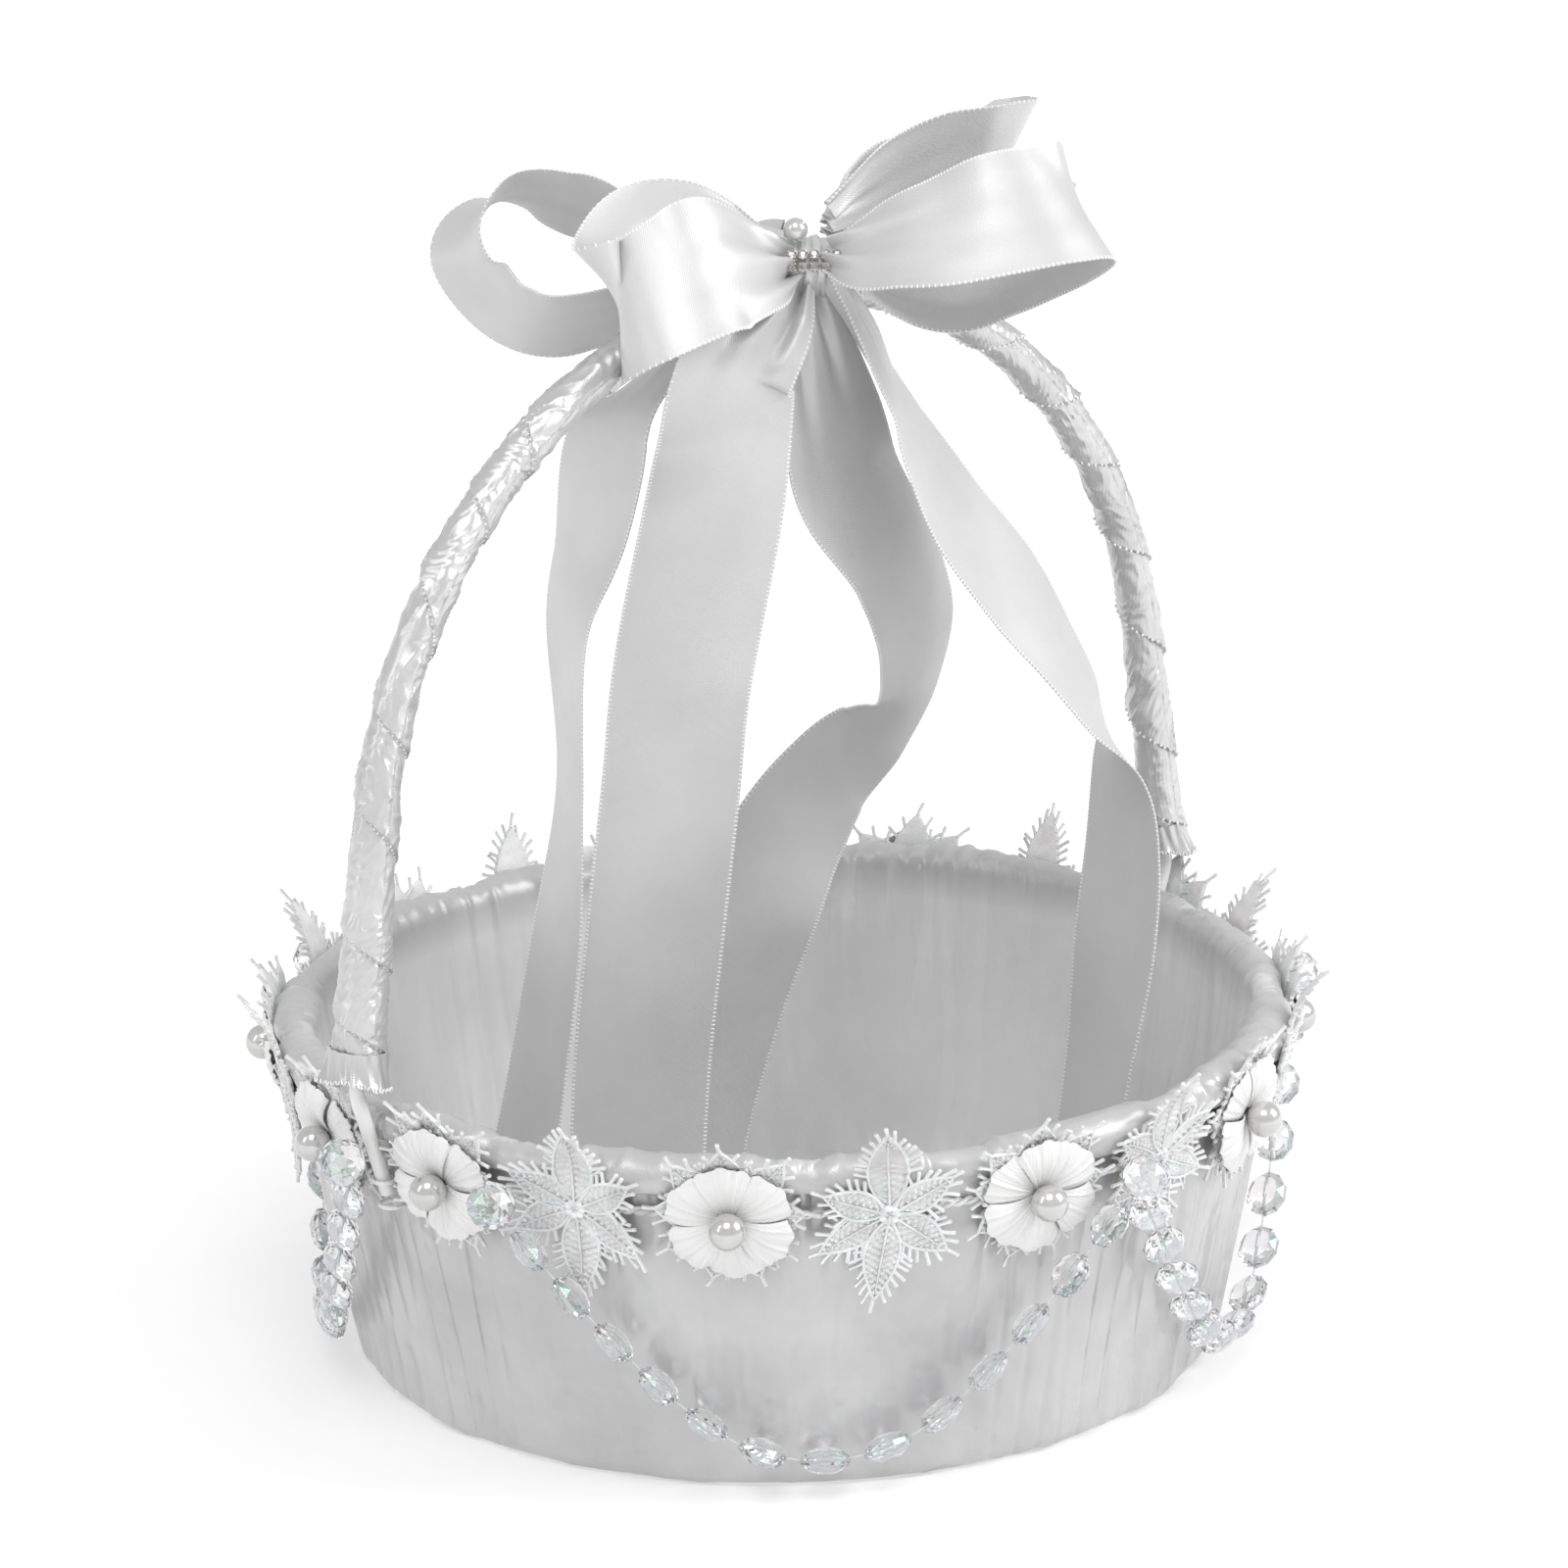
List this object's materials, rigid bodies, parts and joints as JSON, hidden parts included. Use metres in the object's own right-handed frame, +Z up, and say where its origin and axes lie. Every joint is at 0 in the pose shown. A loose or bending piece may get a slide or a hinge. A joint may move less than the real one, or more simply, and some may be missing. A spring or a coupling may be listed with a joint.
{
  "type": "flower girl basket",
  "caption": "Round satin basket with a tapered wall, arched wrapped handle, ribbon bow, lace flower trim at the rim and hanging bead strands; it carries petals.",
  "frame": {"origin": "centre of the underside of the base", "axes": "+Z up, the handle's arch stands over the X axis"},
  "size_m": [0.2503, 0.243, 0.2705],
  "materials": {
    "board": "uncoated card board",
    "cover_paper": "thin glued cover",
    "satin": "white polyester satin",
    "lining": "white polyester satin, gathered",
    "ribbon": "white satin ribbon with picot edges",
    "wire": "drawn wire",
    "rod": "white coated wire rod",
    "thread": "white sewing thread",
    "lace": "white embroidered guipure",
    "petal": "white pleated satin",
    "pearl": "pearl coated plastic",
    "crystal": "clear cut plastic with an iridescent coat",
    "nylon": "clear nylon thread",
    "rhinestone": "foiled stones in silver cups"
  },
  "bodies": {
    "basket": {"basket_wall": "board", "base_board": "board", "bottom_cover": "cover_paper", "outer_satin": "satin", "lining_satin": "lining", "lining_floor": "lining", "rim_wire": "wire", "rim_binding": "satin", "handle_core": "rod", "handle_wrap": "satin", "wrap_end_left": "satin", "wrap_end_right": "satin", "handle_ties": "thread", "bow_loop_left_back": "ribbon", "bow_loop_left_front": "ribbon", "bow_loop_right_front": "ribbon", "bow_loop_right_back": "ribbon", "bow_tail_1": "ribbon", "bow_tail_2": "ribbon", "bow_tail_3": "ribbon", "bow_tail_4": "ribbon", "bow_knot": "ribbon", "bow_pearl": "pearl", "rhinestone_row": "rhinestone", "leaf_spray_1": "lace", "leaf_spray_2": "lace", "leaf_spray_3": "lace", "leaf_spray_4": "lace", "leaf_spray_5": "lace", "leaf_spray_6": "lace", "leaf_spray_7": "lace", "leaf_spray_8": "lace", "leaf_spray_9": "lace", "leaf_spray_10": "lace", "satin_flower_1": "petal", "satin_flower_2": "petal", "satin_flower_3": "petal", "satin_flower_4": "petal", "satin_flower_5": "petal", "satin_flower_6": "petal", "satin_flower_7": "petal", "satin_flower_8": "petal", "satin_flower_9": "petal", "satin_flower_10": "petal", "satin_flower_11": "petal", "lace_rosettes": "lace", "flower_pearls": "pearl", "lace_cord": "lace", "swag_crystals": "crystal"},
    "swag_1": {"swag_thread_1": "nylon", "swag_beads_1": "crystal"},
    "swag_2": {"swag_thread_2": "nylon", "swag_beads_2": "crystal"},
    "swag_3": {"swag_thread_3": "nylon", "swag_beads_3": "crystal"},
    "swag_4": {"swag_thread_4": "nylon", "swag_beads_4": "crystal"},
    "swag_5": {"swag_thread_5": "nylon", "swag_beads_5": "crystal"}
  },
  "joints": [
    {"name": "swag_1_swing", "type": "hinge", "parent": "basket", "child": "swag_1", "pos_m": [-0.0578, -0.07956, 0.062], "axis": [-0.809, 0.5878, 0], "range_deg": [0, 45]},
    {"name": "swag_2_swing", "type": "hinge", "parent": "basket", "child": "swag_2", "pos_m": [0.05211, -0.0834, 0.062], "axis": [-0.848, -0.5299, 0], "range_deg": [0, 45]},
    {"name": "swag_3_swing", "type": "hinge", "parent": "basket", "child": "swag_3", "pos_m": [0.09684, 0.01708, 0.062], "axis": [0.1736, -0.9848, 0], "range_deg": [0, 45]},
    {"name": "swag_4_swing", "type": "hinge", "parent": "basket", "child": "swag_4", "pos_m": [0.02045, 0.09619, 0.062], "axis": [0.9781, -0.2079, 0], "range_deg": [0, 45]},
    {"name": "swag_5_swing", "type": "hinge", "parent": "basket", "child": "swag_5", "pos_m": [-0.08153, 0.05499, 0.062], "axis": [0.5592, 0.829, 0], "range_deg": [0, 45]}
  ]
}
